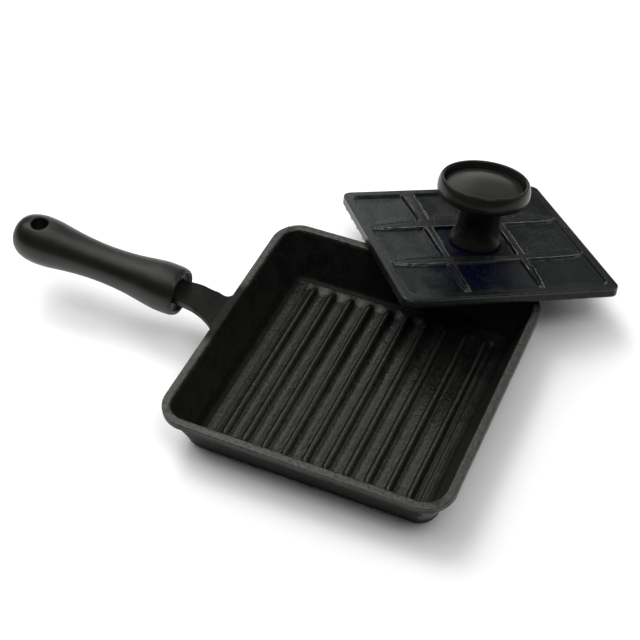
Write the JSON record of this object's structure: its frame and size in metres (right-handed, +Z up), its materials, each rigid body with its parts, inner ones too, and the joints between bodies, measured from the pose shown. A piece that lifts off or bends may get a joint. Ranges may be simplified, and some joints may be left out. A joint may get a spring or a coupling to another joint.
{
  "type": "grill pan with press plate",
  "caption": "Small square cast-iron grill pan with a moulded stick handle and a loose square ribbed press plate with a knob, which leans on the far rim.",
  "frame": {"origin": "centre of the pan's flat underside, on the surface that it stands on", "axes": "+Z up out of the pan's mouth, -X along the handle, +Y to the rim that the press leans on"},
  "size_m": [0.3012, 0.2526, 0.0677],
  "materials": {
    "pan_iron": "black seasoned, sand-cast grain",
    "plate_iron": "black seasoned, smoother satin",
    "grip_phenolic": "black phenolic, satin",
    "knob_phenolic": "black phenolic, satin gloss",
    "cap_phenolic": "black phenolic, satin gloss",
    "screw_steel": "zinc plated",
    "washer_steel": "plain spring steel"
  },
  "bodies": {
    "pan_body": {"pan": "pan_iron", "handle_grip": "grip_phenolic", "handle_screw": "screw_steel", "handle_spring_washer": "washer_steel"},
    "press_body": {"press_plate": "plate_iron", "knob_body": "knob_phenolic", "knob_cap": "cap_phenolic", "knob_washer": "washer_steel", "knob_spring_washer": "washer_steel", "knob_screw": "screw_steel"}
  },
  "joints": [
    {"name": "press_lift", "type": "slide", "parent": "pan_body", "child": "press_body", "axis": [0, 0, 1], "range_m": [0, 0.1]}
  ]
}
